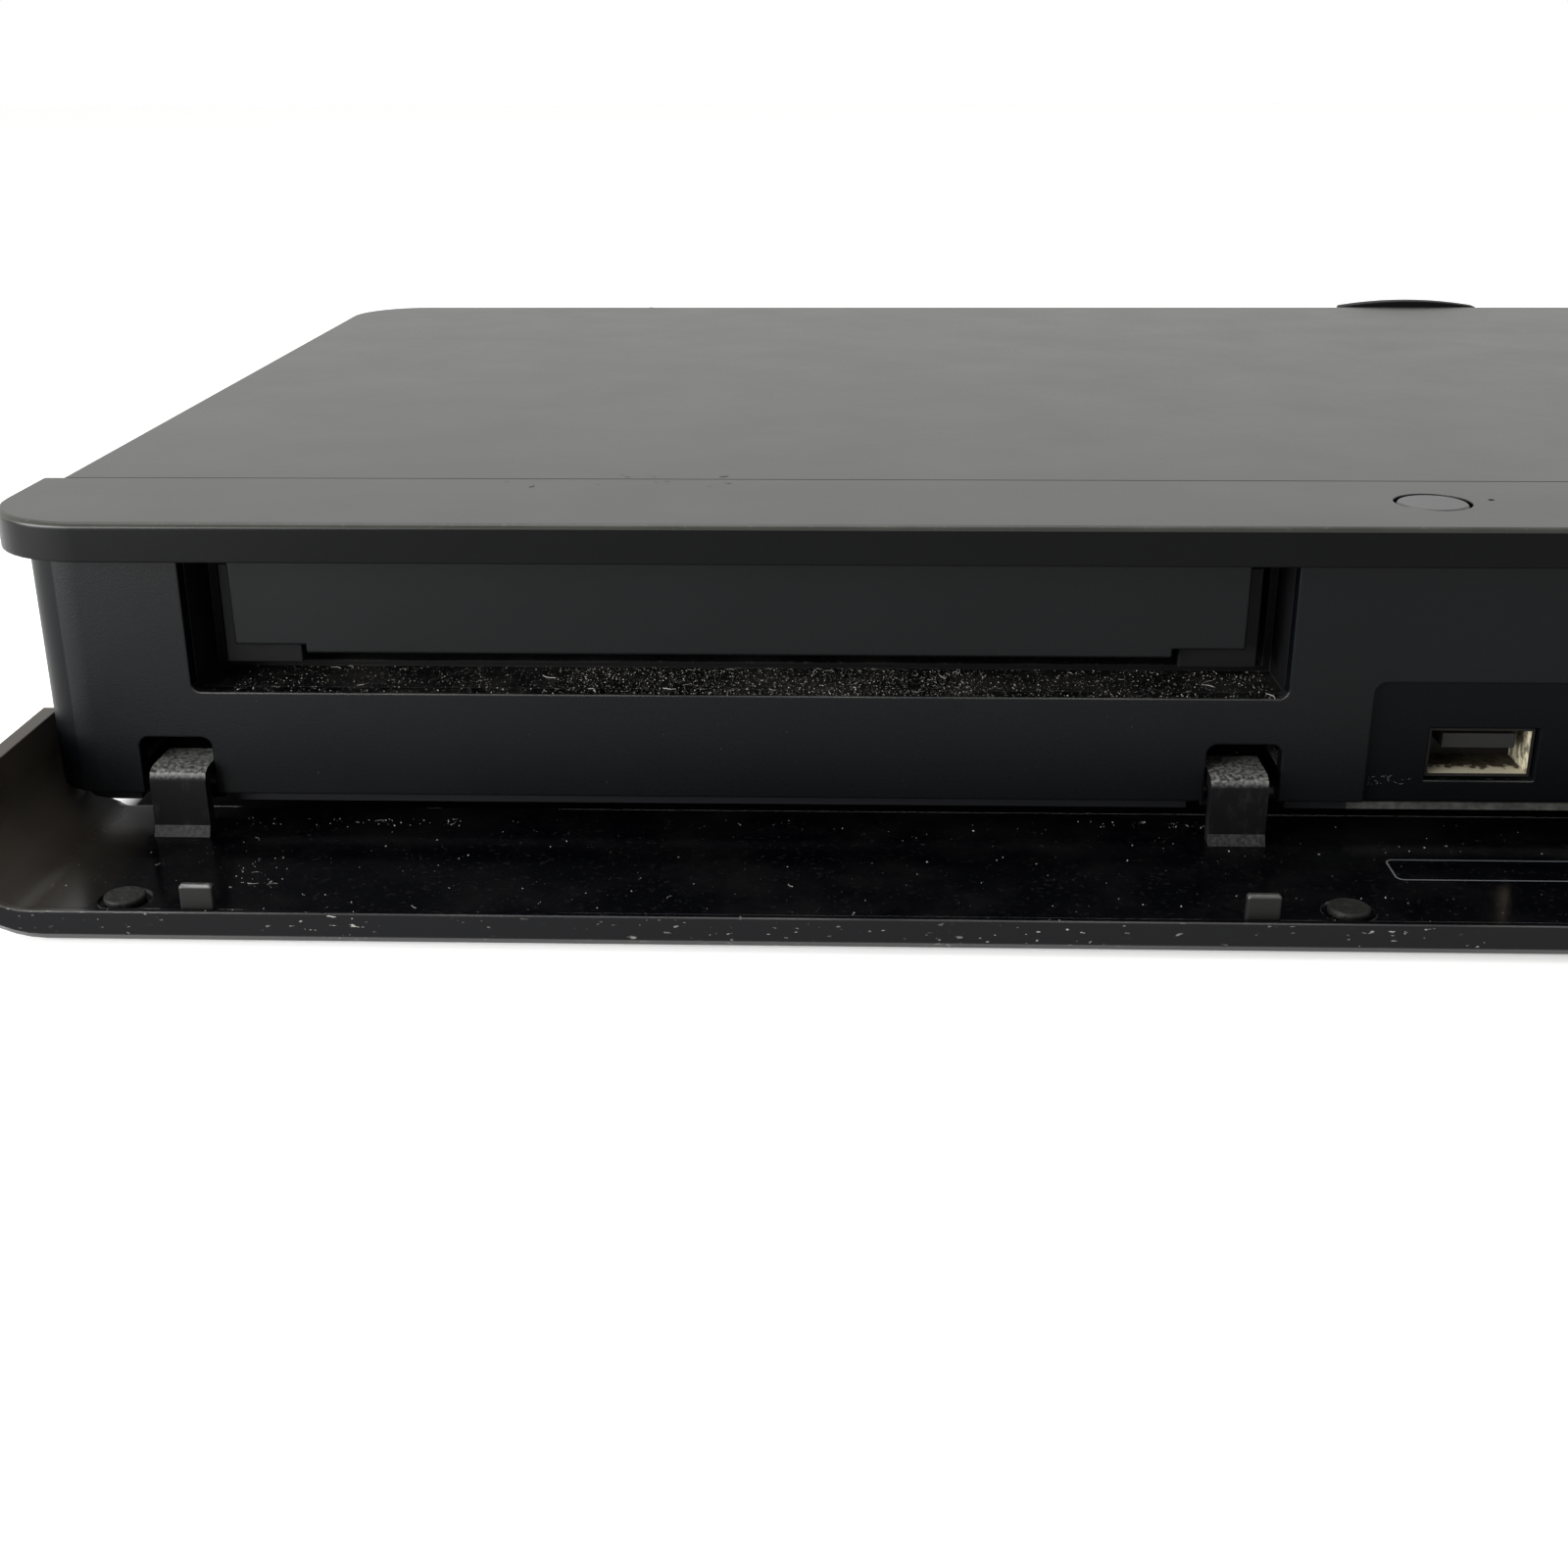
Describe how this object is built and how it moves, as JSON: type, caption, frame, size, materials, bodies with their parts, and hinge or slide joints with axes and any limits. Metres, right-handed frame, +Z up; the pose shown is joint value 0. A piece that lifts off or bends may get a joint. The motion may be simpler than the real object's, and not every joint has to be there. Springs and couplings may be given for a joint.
{
  "type": "disc recorder",
  "caption": "Low, full-width disc recorder with a drop-down front flap, a sliding disc tray and push buttons on its top edge.",
  "frame": {"origin": "on the shelf, under the middle of the box round the whole recorder with its flap open", "axes": "+X to the right along the width, +Y from front to back, +Z up"},
  "size_m": [0.43, 0.2308, 0.0472],
  "materials": {
    "case_satin": "fine satin black paint",
    "front_plastic": "finely textured black moulding",
    "flap_gloss": "polished black moulding",
    "hinge_plastic": "satin dark grey",
    "steel": "ground steel",
    "rubber_black": "soft matte rubber",
    "tab_plastic": "matte dark grey",
    "button_plastic": "satin black",
    "zinc_sheet": "zinc coated sheet",
    "drive_plastic": "black moulding",
    "bezel_plastic": "satin black moulding",
    "gear_nylon": "white nylon",
    "motor_steel": "plated steel",
    "lens_glass": "dark clear lens",
    "board_green": "green circuit board",
    "port_metal": "tin plated shell",
    "port_insert": "dark grey insert",
    "drive_alloy": "cast alloy",
    "wound_core": "dark sleeve and ferrite",
    "socket_plastic": "black socket block"
  },
  "bodies": {
    "case": {"audio_sockets": "socket_plastic", "bottom_chassis": "zinc_sheet", "button_boards": "board_green", "capacitors": "wound_core", "card_socket": "drive_plastic", "clamper_bridge": "zinc_sheet", "coax_connectors": "port_metal", "drive_belt": "rubber_black", "drive_bracket": "zinc_sheet", "drive_chassis": "drive_plastic", "drive_cover": "zinc_sheet", "fan_cowl": "drive_plastic", "fan_frame": "drive_plastic", "feet": "rubber_black", "front_board": "board_green", "front_panel": "front_plastic", "grommets": "rubber_black", "guide_rods": "steel", "hard_drive": "drive_alloy", "hdmi_port": "port_metal", "heat_sink": "drive_alloy", "hinge_brackets": "hinge_plastic", "hinge_pins": "steel", "infrared_sensor": "lens_glass", "inlet_pins": "steel", "lan_port": "port_metal", "loading_motor": "motor_steel", "main_board": "board_green", "mains_inlet": "drive_plastic", "power_board": "board_green", "rear_panel": "zinc_sheet", "screws": "motor_steel", "sled_motor": "motor_steel", "spindle_motor": "motor_steel", "stand_offs": "motor_steel", "top_cover": "case_satin", "top_fascia": "front_plastic", "transformer": "wound_core", "traverse_frame": "drive_plastic", "tray_bay": "drive_plastic", "tuner_module": "zinc_sheet", "usb_port": "port_metal", "usb_tongue": "port_insert"},
    "flap": {"front_flap": "flap_gloss", "hinge_arms": "hinge_plastic", "flap_pads": "rubber_black", "flap_tabs": "tab_plastic"},
    "tray": {"disc_tray": "drive_plastic", "tray_bezel": "bezel_plastic"},
    "open_close": {"open_close_button": "button_plastic"},
    "power": {"power_button": "button_plastic"},
    "loading_gear": {"gear_pair": "gear_nylon"},
    "idler": {"idler_pulley": "gear_nylon"},
    "motor_shaft": {"motor_pulley": "gear_nylon"},
    "spindle": {"turntable": "motor_steel"},
    "clamp": {"clamper": "drive_plastic"},
    "sled": {"optical_sled": "drive_plastic", "objective_lens": "lens_glass"},
    "sled_screw": {"lead_screw": "steel"},
    "fan": {"fan_rotor": "drive_plastic"}
  },
  "joints": [
    {"name": "flap_hinge", "type": "hinge", "parent": "case", "child": "flap", "pos_m": [0, -0.08375, 0.00875], "axis": [1, 0, 0], "range_deg": [-90, 0]},
    {"name": "tray_slide", "type": "slide", "parent": "case", "child": "tray", "axis": [0, -1, 0], "range_m": [0, 0.13]},
    {"name": "open_close_press", "type": "slide", "parent": "case", "child": "open_close", "axis": [0, 0, -1], "range_m": [0, 0.0008], "stiffness_N_per_m": 400, "springref_m": -0.0004},
    {"name": "power_press", "type": "slide", "parent": "case", "child": "power", "axis": [0, 0, -1], "range_m": [0, 0.0008], "stiffness_N_per_m": 400, "springref_m": -0.0004},
    {"name": "loading_gear_spin", "type": "hinge", "parent": "case", "child": "loading_gear", "pos_m": [-0.1654, -0.0536, 0.02], "axis": [0, 0, 1], "range_deg": [-5, 1040]},
    {"name": "idler_spin", "type": "hinge", "parent": "case", "child": "idler", "pos_m": [-0.1461, -0.0536, 0.018], "axis": [0, 0, 1], "range_deg": [-3110, 10]},
    {"name": "motor_pulley_spin", "type": "hinge", "parent": "case", "child": "motor_shaft", "pos_m": [-0.1191, -0.0536, 0.02], "axis": [0, 0, 1], "range_deg": [-8430, 10]},
    {"name": "turntable_spin", "type": "hinge", "parent": "case", "child": "spindle", "pos_m": [-0.1207, -0.0036, 0.028], "axis": [0, 0, 1], "continuous": true},
    {"name": "clamper_spin", "type": "hinge", "parent": "case", "child": "clamp", "pos_m": [-0.1207, -0.0036, 0.037], "axis": [0, 0, 1], "continuous": true},
    {"name": "sled_slide", "type": "slide", "parent": "case", "child": "sled", "axis": [0, 1, 0], "range_m": [0, 0.03]},
    {"name": "lead_screw_spin", "type": "hinge", "parent": "case", "child": "sled_screw", "pos_m": [-0.0847, 0.0324, 0.0174], "axis": [0, 1, 0], "range_deg": [-5, 3605]},
    {"name": "fan_spin", "type": "hinge", "parent": "case", "child": "fan", "pos_m": [0.014, 0.0996, 0.02635], "axis": [0, 1, 0], "continuous": true}
  ],
  "couplings": [
    {"joint": "loading_gear_spin", "follows": "tray_slide", "rad_per_m": 138.89},
    {"joint": "idler_spin", "follows": "tray_slide", "rad_per_m": -416.67},
    {"joint": "motor_pulley_spin", "follows": "tray_slide", "rad_per_m": -1131},
    {"joint": "clamper_spin", "follows": "turntable_spin", "ratio": 1},
    {"joint": "lead_screw_spin", "follows": "sled_slide", "rad_per_m": 2094.4}
  ]
}
